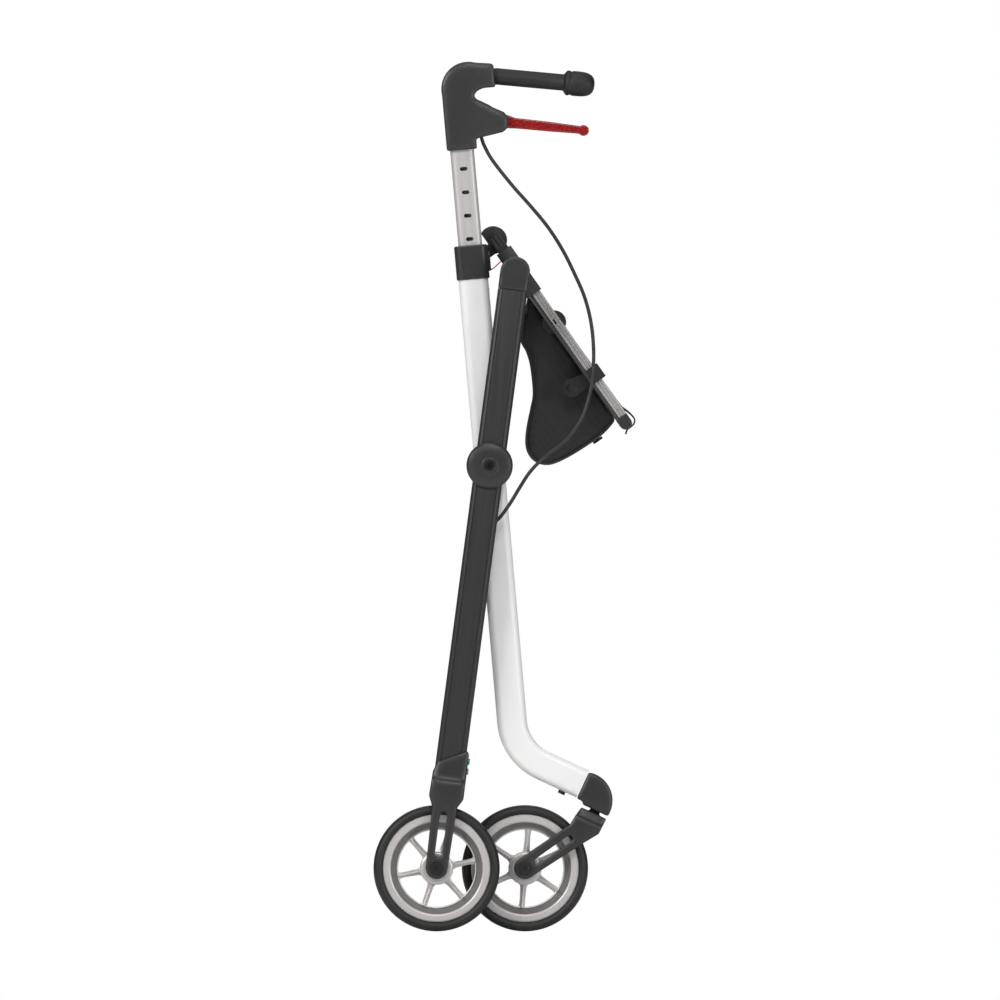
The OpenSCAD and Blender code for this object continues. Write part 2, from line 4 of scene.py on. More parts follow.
import bmesh
import bpy
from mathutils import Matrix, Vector


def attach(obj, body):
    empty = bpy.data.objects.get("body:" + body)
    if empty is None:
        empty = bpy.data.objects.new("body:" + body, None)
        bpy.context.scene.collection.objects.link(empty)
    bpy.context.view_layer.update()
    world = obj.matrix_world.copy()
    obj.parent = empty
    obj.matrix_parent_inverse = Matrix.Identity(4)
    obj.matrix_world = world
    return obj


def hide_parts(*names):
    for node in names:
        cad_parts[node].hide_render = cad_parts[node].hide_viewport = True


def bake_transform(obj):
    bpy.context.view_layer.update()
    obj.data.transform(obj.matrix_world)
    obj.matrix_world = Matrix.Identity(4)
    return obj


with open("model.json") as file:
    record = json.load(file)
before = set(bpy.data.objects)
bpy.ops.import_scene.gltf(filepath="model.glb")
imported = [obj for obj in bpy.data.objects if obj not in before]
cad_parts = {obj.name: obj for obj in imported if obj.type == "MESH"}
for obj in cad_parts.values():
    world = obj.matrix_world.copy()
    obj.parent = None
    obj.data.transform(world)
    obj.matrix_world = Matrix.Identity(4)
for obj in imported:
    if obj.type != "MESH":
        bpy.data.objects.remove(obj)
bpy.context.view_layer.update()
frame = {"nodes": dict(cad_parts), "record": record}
NODES = frame["nodes"]
SIDES = (("left", 1), ("right", -1))

# ---- places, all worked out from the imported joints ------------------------

JOINTS = {j["name"]: j for j in frame["record"]["behaviour"]["joints"]}
SLOTS = {s["node"]: s["material_slot"] for s in frame["record"]["subparts"]}
BODY_OF = {n: b for b, ns in frame["record"]["behaviour"]["bodies"].items() for n in ns}

PIVOT = Vector(JOINTS["fold"]["pos_m"])
SEAT_PIVOT = Vector(JOINTS["guide_turn"]["pos_m"])
RAIL = Vector(JOINTS["hanger_slide"]["axis"]).normalized()
RAIL_UP = Vector((-RAIL.z, 0, RAIL.x))
TUBE_UP = Vector(JOINTS["handle_height_left"]["axis"]).normalized()
TUBE_AHEAD = Vector((TUBE_UP.z, 0, -TUBE_UP.x))
LEG_DOWN = Vector(JOINTS["shoe_press_left"]["axis"]).normalized()
RAIL_OFF = 0.003
FRONT_Y = JOINTS["lever_squeeze_left"]["pos_m"][1]


def on_rail(u, w, y=0.0):
    """A point u along the seat rail from the seat pivot, w above its axis."""
    p = SEAT_PIVOT + RAIL * u + RAIL_UP * (w + RAIL_OFF)
    return Vector((p.x, y, p.z))


def on_tube(a, t, y=0.0):
    """A point t up the front tube from the main pivot, a ahead of its axis."""
    p = PIVOT + TUBE_AHEAD * a + TUBE_UP * t
    return Vector((p.x, y, p.z))


# ---- materials -------------------------------------------------------------

MATERIALS = {}


def new_material(name):
    m = bpy.data.materials.new(name)
    m.use_nodes = True
    nt = m.node_tree
    return m, nt, nt.nodes["Principled BSDF"]


def coords(nt, along=None, stretch=1.0):
    """Object coordinates; with along, features are drawn out that many times along it."""
    c = nt.nodes.new("ShaderNodeTexCoord")
    if along is None:
        return c.outputs["Object"]
    mp = nt.nodes.new("ShaderNodeMapping")
    mp.vector_type = "TEXTURE"
    mp.inputs["Rotation"].default_value = (0, math.atan2(-along.z, along.x), 0)
    mp.inputs["Scale"].default_value = (stretch, 1, 1)
    nt.links.new(c.outputs["Object"], mp.inputs["Vector"])
    return mp.outputs["Vector"]


def noise(nt, vector, scale, detail=4.0, rough=0.5):
    n = nt.nodes.new("ShaderNodeTexNoise")
    n.inputs["Scale"].default_value = scale
    n.inputs["Detail"].default_value = detail
    n.inputs["Roughness"].default_value = rough
    nt.links.new(vector, n.inputs["Vector"])
    return n.outputs["Fac"]


def ramp(nt, value, stops):
    r = nt.nodes.new("ShaderNodeValToRGB")
    e = r.color_ramp.elements
    while len(e) < len(stops):
        e.new(0.5)
    for k, (at, color) in enumerate(stops):
        e[k].position = at
        e[k].color = (*color, 1)
    nt.links.new(value, r.inputs["Fac"])
    return r.outputs["Color"]


def spread(nt, value, low, high):
    m = nt.nodes.new("ShaderNodeMapRange")
    m.inputs["To Min"].default_value = low
    m.inputs["To Max"].default_value = high
    nt.links.new(value, m.inputs["Value"])
    return m.outputs["Result"]


def bump(nt, bsdf, height, strength, distance=0.0004):
    b = nt.nodes.new("ShaderNodeBump")
    b.inputs["Strength"].default_value = strength
    b.inputs["Distance"].default_value = distance
    nt.links.new(height, b.inputs["Height"])
    nt.links.new(b.outputs["Normal"], bsdf.inputs["Normal"])


def shades(color, spread_by):
    """A darker and a lighter shade of one colour, for a mottle."""
    return [(0.3, [c * (1 - spread_by) for c in color]),
            (0.75, [min(1, c * (1 + spread_by)) for c in color])]


def plastic(name, color, rough, grain=900, strength=0.12):
    """Moulded plastic: a fine grain, uneven gloss and a faint mottle."""
    m, nt, b = new_material(name)
    v = coords(nt)
    fine = noise(nt, v, grain, 3)
    wide = noise(nt, v, 14, 3)
    nt.links.new(ramp(nt, wide, shades(color, 0.12)), b.inputs["Base Color"])
    nt.links.new(spread(nt, wide, rough - 0.07, rough + 0.07), b.inputs["Roughness"])
    bump(nt, b, fine, strength)
    return m


def white_paint():
    m, nt, b = new_material("white_powder_coat")
    v = coords(nt)
    wide = noise(nt, v, 9, 2)
    nt.links.new(ramp(nt, wide, [(0.3, (0.86, 0.86, 0.855)), (0.7, (0.92, 0.92, 0.915))]),
                 b.inputs["Base Color"])
    nt.links.new(spread(nt, wide, 0.24, 0.34), b.inputs["Roughness"])
    b.inputs["Coat Weight"].default_value = 0.4
    b.inputs["Coat Roughness"].default_value = 0.12
    bump(nt, b, noise(nt, v, 260, 2), 0.05, 0.0003)
    return m


def silver_paint(name, color):
    """The rims: warm silver paint with a fine flake."""
    m, nt, b = new_material(name)
    v = coords(nt)
    flake = noise(nt, v, 2600, 2)
    nt.links.new(ramp(nt, flake, shades(color, 0.10)), b.inputs["Base Color"])
    nt.links.new(spread(nt, noise(nt, v, 20, 3), 0.30, 0.42), b.inputs["Roughness"])
    b.inputs["Metallic"].default_value = 0.3
    bump(nt, b, flake, 0.05, 0.0001)
    return m


def brushed(name, color, rough, along, metal):
    """Drawn aluminium: fine streaks along one direction."""
    m, nt, b = new_material(name)
    streaks = noise(nt, coords(nt, along, 80), 320, 3, 0.5)
    nt.links.new(ramp(nt, streaks, shades(color, 0.07)), b.inputs["Base Color"])
    nt.links.new(spread(nt, streaks, rough - 0.06, rough + 0.08), b.inputs["Roughness"])
    b.inputs["Metallic"].default_value = metal
    bump(nt, b, streaks, 0.02, 0.0001)
    return m


def anodised_black():
    m, nt, b = new_material("black_anodised")
    streaks = noise(nt, coords(nt, LEG_DOWN, 40), 500, 4, 0.6)
    nt.links.new(ramp(nt, streaks, [(0.3, (0.025, 0.025, 0.026)), (0.75, (0.032, 0.032, 0.033))]),
                 b.inputs["Base Color"])
    nt.links.new(spread(nt, streaks, 0.38, 0.5), b.inputs["Roughness"])
    b.inputs["Metallic"].default_value = 0.2
    bump(nt, b, noise(nt, coords(nt), 1500, 2), 0.08, 0.0002)
    return m


def tyre_rubber():
    m, nt, b = new_material("tyre_rubber")
    v = coords(nt)
    dust = noise(nt, v, 30, 6, 0.7)
    nt.links.new(ramp(nt, dust, [(0.42, (0.008, 0.008, 0.008)), (0.8, (0.020, 0.0195, 0.019))]),
                 b.inputs["Base Color"])
    nt.links.new(spread(nt, dust, 0.42, 0.62), b.inputs["Roughness"])
    bump(nt, b, noise(nt, v, 700, 4), 0.2, 0.0004)
    return m


def red_lever():
    """Red moulded lever with darker flecks under a clear skin."""
    m, nt, b = new_material("red_lever")
    v = coords(nt)
    cells = nt.nodes.new("ShaderNodeTexVoronoi")
    cells.inputs["Scale"].default_value = 620
    nt.links.new(v, cells.inputs["Vector"])
    flecks = ramp(nt, cells.outputs["Distance"], [(0.05, (0.62, 0.06, 0.06)),
                                                  (0.25, (0.36, 0.010, 0.012)),
                                                  (0.75, (0.16, 0.003, 0.004))])
    nt.links.new(flecks, b.inputs["Base Color"])
    b.inputs["Roughness"].default_value = 0.28
    b.inputs["Coat Weight"].default_value = 0.25
    b.inputs["Coat Roughness"].default_value = 0.12
    bump(nt, b, cells.outputs["Distance"], 0.12, 0.0002)
    return m


def woven(name, color, threads, strength, sheen):
    """Plain-weave cloth: two crossed thread waves, in the seat's own plane."""
    m, nt, b = new_material(name)
    v = coords(nt, RAIL)
    waves = []
    for direction in ("X", "Y"):
        w = nt.nodes.new("ShaderNodeTexWave")
        w.bands_direction = direction
        w.inputs["Scale"].default_value = threads
        w.inputs["Distortion"].default_value = 0.6
        w.inputs["Detail Scale"].default_value = 3
        nt.links.new(v, w.inputs["Vector"])
        waves.append(w.outputs["Fac"])
    both = nt.nodes.new("ShaderNodeMath")
    both.operation = "MULTIPLY"
    nt.links.new(waves[0], both.inputs[0])
    nt.links.new(waves[1], both.inputs[1])
    wide = noise(nt, v, 11, 5, 0.6)
    mix = nt.nodes.new("ShaderNodeMath")
    mix.operation = "MULTIPLY_ADD"
    mix.inputs[1].default_value = 0.35
    nt.links.new(both.outputs[0], mix.inputs[0])
    nt.links.new(spread(nt, wide, 0.2, 0.6), mix.inputs[2])
    nt.links.new(ramp(nt, mix.outputs[0], shades(color, 0.3)), b.inputs["Base Color"])
    nt.links.new(spread(nt, wide, 0.62, 0.8), b.inputs["Roughness"])
    b.inputs["Sheen Weight"].default_value = sheen
    b.inputs["Sheen Roughness"].default_value = 0.45
    bump(nt, b, both.outputs[0], strength, 0.0004)
    return m


def make_materials():
    MATERIALS.update({
        "white_paint": white_paint(),
        "black_plastic": plastic("black_plastic", (0.026, 0.026, 0.0265), 0.40),
        "black_anodised": anodised_black(),
        "bright_aluminium": brushed("rail_aluminium", (0.46, 0.45, 0.445), 0.34, RAIL, 0.35),
        # a dark copy of the rail metal: painted shade for the rail's lower band
        "rail_painted_shade": brushed("rail_painted_shade", (0.075, 0.073, 0.072), 0.36, RAIL, 0.3),
        "tube_aluminium": brushed("tube_aluminium", (0.56, 0.54, 0.535), 0.42, TUBE_UP, 0.35),
        "tyre": tyre_rubber(),
        "rim_grey": silver_paint("rim_silver", (0.60, 0.575, 0.565)),
        # a dark copy of the rim paint: painted shade for the rim's recess
        "rim_shade": silver_paint("rim_silver_recess", (0.26, 0.25, 0.245)),
        "black_rubber": plastic("black_rubber", (0.009, 0.009, 0.0095), 0.55, 1400, 0.22),
        "red_lever": red_lever(),
        "green_plastic": plastic("green_plastic", (0.02, 0.50, 0.12), 0.4),
        "red_webbing": woven("red_webbing", (0.50, 0.006, 0.010), 520, 0.4, 0.0),
        "black_fabric": woven("black_fabric", (0.017, 0.017, 0.0175), 900, 0.10, 0.10),
        "steel": brushed("steel", (0.42, 0.42, 0.43), 0.32, RAIL, 1.0),
        "dark_steel": plastic("dark_steel", (0.014, 0.014, 0.015), 0.30, 1200, 0.06),
        "cable_skin": plastic("cable_skin", (0.020, 0.020, 0.021), 0.40, 1500, 0.08),
        "thread": woven("thread", (0.09, 0.09, 0.095), 900, 0.4, 0.3),
    })


NODE_MATERIAL = {
    "height_tube_left": "tube_aluminium", "height_tube_right": "tube_aluminium",
    "rail_screws": "dark_steel", "pivot_bolts": "dark_steel",
    "rear_axles": "dark_steel", "caster_axle_left": "dark_steel",
    "caster_axle_right": "dark_steel", "brake_cable_left": "cable_skin",
    "brake_cable_right": "cable_skin", "bag_hangers": "black_rubber",
    "bag_buckle": "black_rubber",
}


def paint(obj, key):
    obj.data.materials.clear()
    obj.data.materials.append(MATERIALS[key])


# ---- mesh helpers ----------------------------------------------------------

SAME_PLACE = 2e-6
SOFT_FACES_KEPT = 0.35


def add_piece(name, verts, faces, material, body, nodes=(), slot=None, smooth=True):
    mesh = bpy.data.meshes.new(name)
    mesh.from_pydata([tuple(v) for v in verts], [], faces)
    bm = bmesh.new()
    bm.from_mesh(mesh)
    bmesh.ops.recalc_face_normals(bm, faces=bm.faces)
    bm.to_mesh(mesh)
    bm.free()
    obj = bpy.data.objects.new(name, mesh)
    bpy.context.scene.collection.objects.link(obj)
    for p in mesh.polygons:
        p.use_smooth = smooth
    paint(obj, material)
    if body:
        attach(obj, body)
    if nodes:
        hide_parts(*nodes)
    return obj


def bake_modifiers(obj):
    """Applies obj's modifiers, so that only plain mesh is left."""
    bpy.context.view_layer.update()
    graph = bpy.context.evaluated_depsgraph_get()
    mesh = bpy.data.meshes.new_from_object(obj.evaluated_get(graph))
    old = obj.data
    obj.modifiers.clear()
    obj.data = mesh
    mesh.name = old.name


def sharpen(mesh, angle):
    """Smooth shading, broken only at edges sharper than angle."""
    bm = bmesh.new()
    bm.from_mesh(mesh)
    for f in bm.faces:
        f.smooth = True
    for e in bm.edges:
        e.smooth = not (len(e.link_faces) == 2 and e.calc_face_angle(0) > angle)
    bm.to_mesh(mesh)
    bm.free()


def cad_copy(node, name):
    """A new object with a CAD node's mesh, its doubled vertices joined."""
    mesh = NODES[node].data.copy()
    mesh.name = name
    bm = bmesh.new()
    bm.from_mesh(mesh)
    bmesh.ops.remove_doubles(bm, verts=bm.verts, dist=SAME_PLACE)
    bm.to_mesh(mesh)
    bm.free()
    obj = bpy.data.objects.new(name, mesh)
    bpy.context.scene.collection.objects.link(obj)
    return obj


def stand_for(obj, node):
    """Gives obj the node's material, from its slot or NODE_MATERIAL, and its body, and hides the
    node it stands for.
    """
    paint(obj, NODE_MATERIAL.get(node, SLOTS[node]))
    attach(obj, BODY_OF[node])
    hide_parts(node)


def rounded(node, width):
    """A copy of a CAD node with its sharp edges rounded, standing for the node."""
    obj = cad_copy(node, node + "_rounded")
    bm = bmesh.new()
    bm.from_mesh(obj.data)
    bmesh.ops.dissolve_limit(bm, angle_limit=math.radians(1.0), verts=bm.verts, edges=bm.edges,
                             delimit={"NORMAL"})
    bm.to_mesh(obj.data)
    bm.free()
    b = obj.modifiers.new("round", "BEVEL")
    b.width = width
    b.segments = 3
    b.limit_method = "ANGLE"
    b.angle_limit = math.radians(32)
    b.use_clamp_overlap = True
    b.miter_outer = "MITER_ARC"
    bake_modifiers(obj)
    sharpen(obj.data, math.radians(38))
    stand_for(obj, node)


def skinned(obj, voxel, passes):
    """Adds modifiers that remake obj's skin in even cells and smooth it."""
    m = obj.modifiers.new("skin", "REMESH")
    m.mode = "VOXEL"
    m.voxel_size = voxel
    m = obj.modifiers.new("soften", "SMOOTH")
    m.factor = 0.5
    m.iterations = passes


def softened(node, voxel, passes, crown):
    """A copy of a CAD node with rounded edges, as a moulding has.

    crown is a number of passes that bend only the side faces in at their edges,
    so that the side outline stays.
    """
    obj = cad_copy(node, node + "_soft")
    skinned(obj, voxel, passes)
    if crown:
        m = obj.modifiers.new("crown", "SMOOTH")
        m.factor = 0.5
        m.iterations = crown
        m.use_x = m.use_z = False
    m = obj.modifiers.new("thin", "DECIMATE")
    m.ratio = SOFT_FACES_KEPT
    bake_modifiers(obj)
    for p in obj.data.polygons:
        p.use_smooth = True
    stand_for(obj, node)


def lathe(profile, centre, axis, steps):
    """Verts and faces of a closed ring turned from (radius, along) points about axis."""
    axis = Vector(axis).normalized()
    across = axis.cross(Vector((0.31, 0.2, 0.93))).normalized()
    other = axis.cross(across)
    verts, faces = [], []
    n = len(profile)
    for k in range(steps):
        a = 2 * math.pi * k / steps
        out = across * math.cos(a) + other * math.sin(a)
        verts += [centre + out * r + axis * d for r, d in profile]
    for k in range(steps):
        k2 = (k + 1) % steps
        for i in range(n):
            i2 = (i + 1) % n
            faces.append((k * n + i, k * n + i2, k2 * n + i2, k2 * n + i))
    return verts, faces


def joined(parts):
    """One list of verts and one of faces from several closed shapes."""
    verts, faces = [], []
    for v, f in parts:
        faces += [tuple(len(verts) + i for i in face) for face in f]
        verts += list(v)
    return verts, faces


def smooth_path(points, per):
    """Catmull-Rom points through the given ones."""
    out = []
    n = len(points)
    for i in range(n - 1):
        a, b = points[max(i - 1, 0)], points[i]
        c, d = points[i + 1], points[min(i + 2, n - 1)]
        for k in range(per):
            t = k / per
            out.append(0.5 * ((2 * b) + (c - a) * t + (2 * a - 5 * b + 4 * c - d) * t * t
                              + (3 * b - a - 3 * c + d) * t * t * t))
    out.append(points[-1])
    return out


def tube_mesh(points, radius, sides):
    """Verts and faces of a closed tube along the points."""
    verts, faces = [], []
    n = len(points)
    across = None
    for i, p in enumerate(points):
        h = (points[min(i + 1, n - 1)] - points[max(i - 1, 0)]).normalized()
        if across is None:
            across = h.cross(Vector((0.3, 1, 0.2))).normalized()
        across = (across - h * across.dot(h)).normalized()
        other = h.cross(across)
        for k in range(sides):
            a = 2 * math.pi * k / sides
            verts.append(p + (across * math.cos(a) + other * math.sin(a)) * radius)
    for i in range(n - 1):
        for k in range(sides):
            k2 = (k + 1) % sides
            here, ahead = i * sides, (i + 1) * sides
            faces.append((here + k, here + k2, ahead + k2, ahead + k))
    faces.append(tuple(reversed(range(sides))))
    faces.append(tuple((n - 1) * sides + k for k in range(sides)))
    return verts, faces


# ---- camera, floor, light --------------------------------------------------


def make_camera():
    """A level side view of the whole walker, drawn without perspective."""
    cam = bpy.data.cameras.new("camera")
    cam.type = "ORTHO"
    cam.ortho_scale = 1.108
    cam.clip_end = 50
    obj = bpy.data.objects.new("camera", cam)
    bpy.context.scene.collection.objects.link(obj)
    obj.location = (-0.0055, -6.0, 0.478)
    obj.rotation_euler = (math.pi / 2, 0, 0)
    bpy.context.scene.camera = obj


def add_light(name, place, aim, size, watts):
    data = bpy.data.lights.new(name, "AREA")
    data.shape = "RECTANGLE"
    data.size, data.size_y = size
    data.energy = watts
    obj = bpy.data.objects.new(name, data)
    bpy.context.scene.collection.objects.link(obj)
    obj.location = place
    obj.rotation_euler = (Vector(aim) - Vector(place)).to_track_quat("-Z", "Y").to_euler()


def make_world():
    """White behind the walker; a dimmer room for it to reflect."""
    world = bpy.data.worlds.new("studio")
    world.use_nodes = True
    nt = world.node_tree
    seen = nt.nodes["Background"]
    seen.inputs["Color"].default_value = (1, 1, 1, 1)
    room = nt.nodes.new("ShaderNodeBackground")
    coord = nt.nodes.new("ShaderNodeTexCoord")
    split = nt.nodes.new("ShaderNodeSeparateXYZ")
    nt.links.new(coord.outputs["Generated"], split.inputs["Vector"])
    up = spread(nt, split.outputs["Z"], 0.5, 1.0)
    nt.links.new(ramp(nt, up, [(0.2, (0.07, 0.07, 0.07)), (0.5, (0.04, 0.04, 0.04)),
                               (1.0, (0.36, 0.36, 0.36))]), room.inputs["Color"])
    path = nt.nodes.new("ShaderNodeLightPath")
    mix = nt.nodes.new("ShaderNodeMixShader")
    nt.links.new(path.outputs["Is Camera Ray"], mix.inputs["Fac"])
    nt.links.new(room.outputs["Background"], mix.inputs[1])
    nt.links.new(seen.outputs["Background"], mix.inputs[2])
    nt.links.new(mix.outputs["Shader"], nt.nodes["World Output"].inputs["Surface"])
    bpy.context.scene.world = world


def make_studio():
    bpy.context.scene.view_settings.view_transform = "Standard"
    make_world()
    middle = (0, 0, 0.5)
    add_light("key", (-2.7, -2.9, 2.1), middle, (1.4, 1.4), 76)
    add_light("fill", (2.9, -2.9, 1.0), middle, (0.9, 1.6), 41)
    add_light("front", (0.3, -3.4, 2.9), middle, (1.6, 1.0), 36)
    add_light("back", (0.4, 3.2, 2.2), middle, (2.4, 1.6), 12)
    add_light("top", (0, -0.4, 3.4), middle, (1.6, 1.6), 15)
    bpy.ops.mesh.primitive_plane_add(size=30, location=(0, 0, -0.0006))
    floor = bpy.context.object
    floor.name = "floor"
    m, nt, b = new_material("pale_floor")
    b.inputs["Base Color"].default_value = (0.86, 0.86, 0.86, 1)
    b.inputs["Roughness"].default_value = 0.6
    floor.data.materials.append(m)


# ---- brake cables ----------------------------------------------------------

# x and z from the main pivot, y from the centre plane, as the CAD has them
CABLE = [(-0.011, 0.238, 0.372), (-0.009, 0.238, 0.363), (-0.005, 0.238, 0.3525),
         (0.004, 0.240, 0.337), (0.025, 0.242, 0.3105), (0.0445, 0.245, 0.2885),
         (0.064, 0.247, 0.265), (0.0805, 0.249, 0.2395), (0.0943, 0.251, 0.212),
         (0.1054, 0.253, 0.186), (0.1124, 0.255, 0.158), (0.1152, 0.257, 0.129),
         (0.1144, 0.258, 0.103), (0.111, 0.259, 0.080), (0.104, 0.261, 0.057),
         (0.094, 0.263, 0.040), (0.083, 0.265, 0.027), (0.069, 0.267, 0.016),
         (0.057, 0.268, 0.006), (0.044, 0.269, -0.008), (0.033, 0.270, -0.025),
         (0.022, 0.271, -0.043), (0.010, 0.272, -0.059), (0.000, 0.272, -0.066)]
CABLE_SPLIT = 11
CABLE_RADIUS = 0.002
CABLE_SIDES = 16
POINTS_PER_STEP = 8


def make_cables():
    for name, side in SIDES:
        pts = [PIVOT + Vector((x, y * side, z)) for x, y, z in CABLE]
        line = smooth_path(pts, POINTS_PER_STEP)
        cut = CABLE_SPLIT * POINTS_PER_STEP
        halves = [add_piece(f"cable_{part}_{name}",
                            *tube_mesh(points, CABLE_RADIUS, CABLE_SIDES),
                            "cable_skin", None, (f"brake_cable_{name}",))
                  for part, points in (("upper", line[:cut + 1]), ("lower", line[cut:]))]
        upper, lower = halves
        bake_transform(upper)
        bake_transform(lower)


# ---- soft goods ------------------------------------------------------------

BAG_Y = 0.184
# the bag's side outline along (u) and above (w) the rail axis
BAG_OUTLINE = [(0.030, -0.007), (0.047, -0.025), (0.064, -0.041), (0.078, -0.0435),
               (0.092, -0.048), (0.107, -0.0555), (0.123, -0.0655), (0.135, -0.078),
               (0.151, -0.094), (0.164, -0.104), (0.174, -0.1075), (0.185, -0.107),
               (0.1945, -0.100), (0.1993, -0.090), (0.2025, -0.072), (0.204, -0.046),
               (0.2035, -0.026), (0.199, -0.007)]


def bag_press(u, w, y):
    """How far the cloth gives: slack pleats in belly and back, fading out towards the side panels.
    """
    deep = min(1.0, max(0.0, (-w - 0.012) / 0.07))
    edge = 1 - min(1.0, abs(y) / BAG_Y) ** 4
    pleat = 0.0013 * math.sin(y * 46 + u * 30) * math.cos(u * 55 + 0.7)
    return deep * edge * pleat


def side_slab(outline, y0, y1):
    """Verts and faces of a plain slab between y0 and y1 from a side outline."""
    n = len(outline)
    verts = [on_rail(p.x, p.y, y) for y in (y0, y1) for p in outline]
    faces = [tuple(range(n)), tuple(reversed(range(n, 2 * n)))]
    faces += [(i, (i + 1) % n, n + (i + 1) % n, n + i) for i in range(n)]
    return verts, faces


def make_bag():
    line = smooth_path([Vector((u, w, 0)) for u, w in BAG_OUTLINE], 4)
    bag = add_piece("bag_cloth", *side_slab(line, -BAG_Y, BAG_Y), "black_fabric", "seat_frame",
                    ("bag",))
    skinned(bag, 0.0032, 14)
    bake_modifiers(bag)
    # world to rail frame, for the slack, and the side panels drawn in a little at mid depth
    for v in bag.data.vertices:
        d = v.co - SEAT_PIVOT
        u, w = d.dot(RAIL), d.dot(RAIL_UP) - RAIL_OFF
        v.co += RAIL_UP * bag_press(u, w, v.co.y)
        if abs(v.co.y) > BAG_Y - 0.004:
            hollow = math.sin(min(1.0, max(0.0, -w / 0.10)) * math.pi)
            v.co.y -= math.copysign(0.0022 * hollow, v.co.y)
    for p in bag.data.polygons:
        p.use_smooth = True
    # piping sewn round both side panels
    for name, side in SIDES:
        inner = [on_rail(0.128 + (p.x - 0.128) * 0.972, -0.05 + (p.y + 0.05) * 0.962,
                         side * (BAG_Y - 0.0012)) for p in line]
        add_piece(f"bag_piping_{name}", *tube_mesh(inner, 0.0009, 8), "black_fabric", "seat_frame",
                  slot="black_fabric")


CLOTH_Y = 0.199
CLOTH_BACK = -0.027
STITCH_PITCH = 0.006
STITCH_UP = 0.0064
# the front hem's flap, past the rail's end: u and w
FLAP = [(0.190, 0.0062), (0.1955, 0.0084), (0.2036, 0.0105), (0.2103, 0.0106), (0.2138, 0.0069),
        (0.2146, 0.0023), (0.2150, -0.0028), (0.2179, -0.0069)]


def cloth_line():
    back = [Vector((CLOTH_BACK + 0.0075 * k, 0.0061, 0)) for k in range(29)]
    flap = [Vector((u, w, 0)) for u, w in FLAP]
    return back + smooth_path(flap, 4)[1:]


def sheet_faces(rows, n):
    """Faces of a thin sheet: rows of n points on top, as many again below, and its edge."""
    under = (rows + 1) * n
    faces = []
    for j in range(rows):
        for i in range(n - 1):
            a, b, c, d = j * n + i, j * n + i + 1, (j + 1) * n + i + 1, (j + 1) * n + i
            faces.append((a, b, c, d))
            faces.append(tuple(under + k for k in (d, c, b, a)))
    rim = ([i for i in range(n)] + [j * n + n - 1 for j in range(1, rows + 1)]
           + [rows * n + i for i in range(n - 2, -1, -1)]
           + [j * n for j in range(rows - 1, 0, -1)])
    for k, a in enumerate(rim):
        b = rim[(k + 1) % len(rim)]
        faces.append((a, under + a, under + b, b))
    return faces


def make_stitches():
    """Two rows of stitches along each long hem of the seat."""
    parts = []
    for side in (-1, 1):
        for inset in (0.008, 0.013):
            y = side * (CLOTH_Y - inset)
            for k in range(36):
                u = CLOTH_BACK + STITCH_PITCH * (k + 1)
                points = [on_rail(u + along, STITCH_UP, y) for along in (0, 0.0018, 0.0036)]
                parts.append(tube_mesh(points, 0.0003, 6))
    add_piece("seat_stitches", *joined(parts), "thread", "seat_frame", slot="black_fabric")


def make_seat_cloth():
    """A stretched sling: flat at the rails, hanging a little between them."""
    line = cloth_line()
    rows = 44
    thick = 0.0018
    top, low = [], []
    for j in range(rows + 1):
        y = -CLOTH_Y + 2 * CLOTH_Y * j / rows
        hang = 0.0009 * (1 - (y / CLOTH_Y) ** 2)
        for i, p in enumerate(line):
            a, b = line[max(i - 1, 0)], line[min(i + 1, len(line) - 1)]
            t = (b - a).normalized()
            normal = Vector((-t.y, t.x, 0))
            ripple = 0.0004 * math.sin(y * 90) * math.sin(p.x * 60)
            drop = hang * max(0.0, 1 - max(0.0, (p.x - 0.17) / 0.035))
            base = p + Vector((0, ripple - drop, 0))
            q = base + normal * thick / 2
            r = base - normal * thick / 2
            top.append(on_rail(q.x, q.y, y))
            low.append(on_rail(r.x, r.y, y))
    cloth = add_piece("seat_sling", top + low, sheet_faces(rows, len(line)), "black_fabric",
                      "seat_frame", ("seat_cloth",))
    sharpen(cloth.data, math.radians(60))
    make_stitches()


def make_strap():
    """The red pull strap, hanging from the seat's rear edge."""
    lo, hi = -0.030, 0.0048
    rows, cols = 18, 8
    width, thick = 0.024, 0.0013
    top, low = [], []
    for j in range(rows + 1):
        w = hi + (lo - hi) * j / rows
        u = -0.0174 + 0.0006 * math.sin(j * 0.6)
        for i in range(cols + 1):
            y = -width / 2 + width * i / cols
            top.append(on_rail(u + thick / 2, w, y))
            low.append(on_rail(u - thick / 2, w, y))
    strap = add_piece("pull_strap_webbing", top + low, sheet_faces(rows, cols + 1),
                      "red_webbing", "seat_frame", ("pull_strap",))
    sharpen(strap.data, math.radians(50))


# ---- wheels ----------------------------------------------------------------

TYRE_PROFILE = [(0.0593, -0.0108), (0.0612, -0.0130), (0.0628, -0.0138), (0.0645, -0.0141),
                (0.0652, -0.0136), (0.0660, -0.0136), (0.0678, -0.0122), (0.0690, -0.0096),
                (0.0697, -0.0062), (0.0700, -0.0030), (0.0700, 0.0030), (0.0697, 0.0062),
                (0.0690, 0.0096), (0.0678, 0.0122), (0.0660, 0.0136), (0.0652, 0.0136),
                (0.0645, 0.0141), (0.0628, 0.0138), (0.0612, 0.0130), (0.0593, 0.0108)]
RIM_PROFILE = [(0.0592, -0.0105), (0.0585, -0.0112), (0.0560, -0.0110), (0.0530, -0.0108),
               (0.0514, -0.0103), (0.0508, -0.0094), (0.0502, -0.0080), (0.0478, -0.0044),
               (0.0460, -0.0028), (0.0450, -0.0030), (0.0440, -0.0040), (0.0428, -0.0036),
               (0.0426, 0.0036), (0.0440, 0.0040), (0.0450, 0.0030), (0.0460, 0.0028),
               (0.0478, 0.0044), (0.0502, 0.0080), (0.0508, 0.0094), (0.0514, 0.0103),
               (0.0530, 0.0108), (0.0560, 0.0110), (0.0585, 0.0112), (0.0592, 0.0105)]
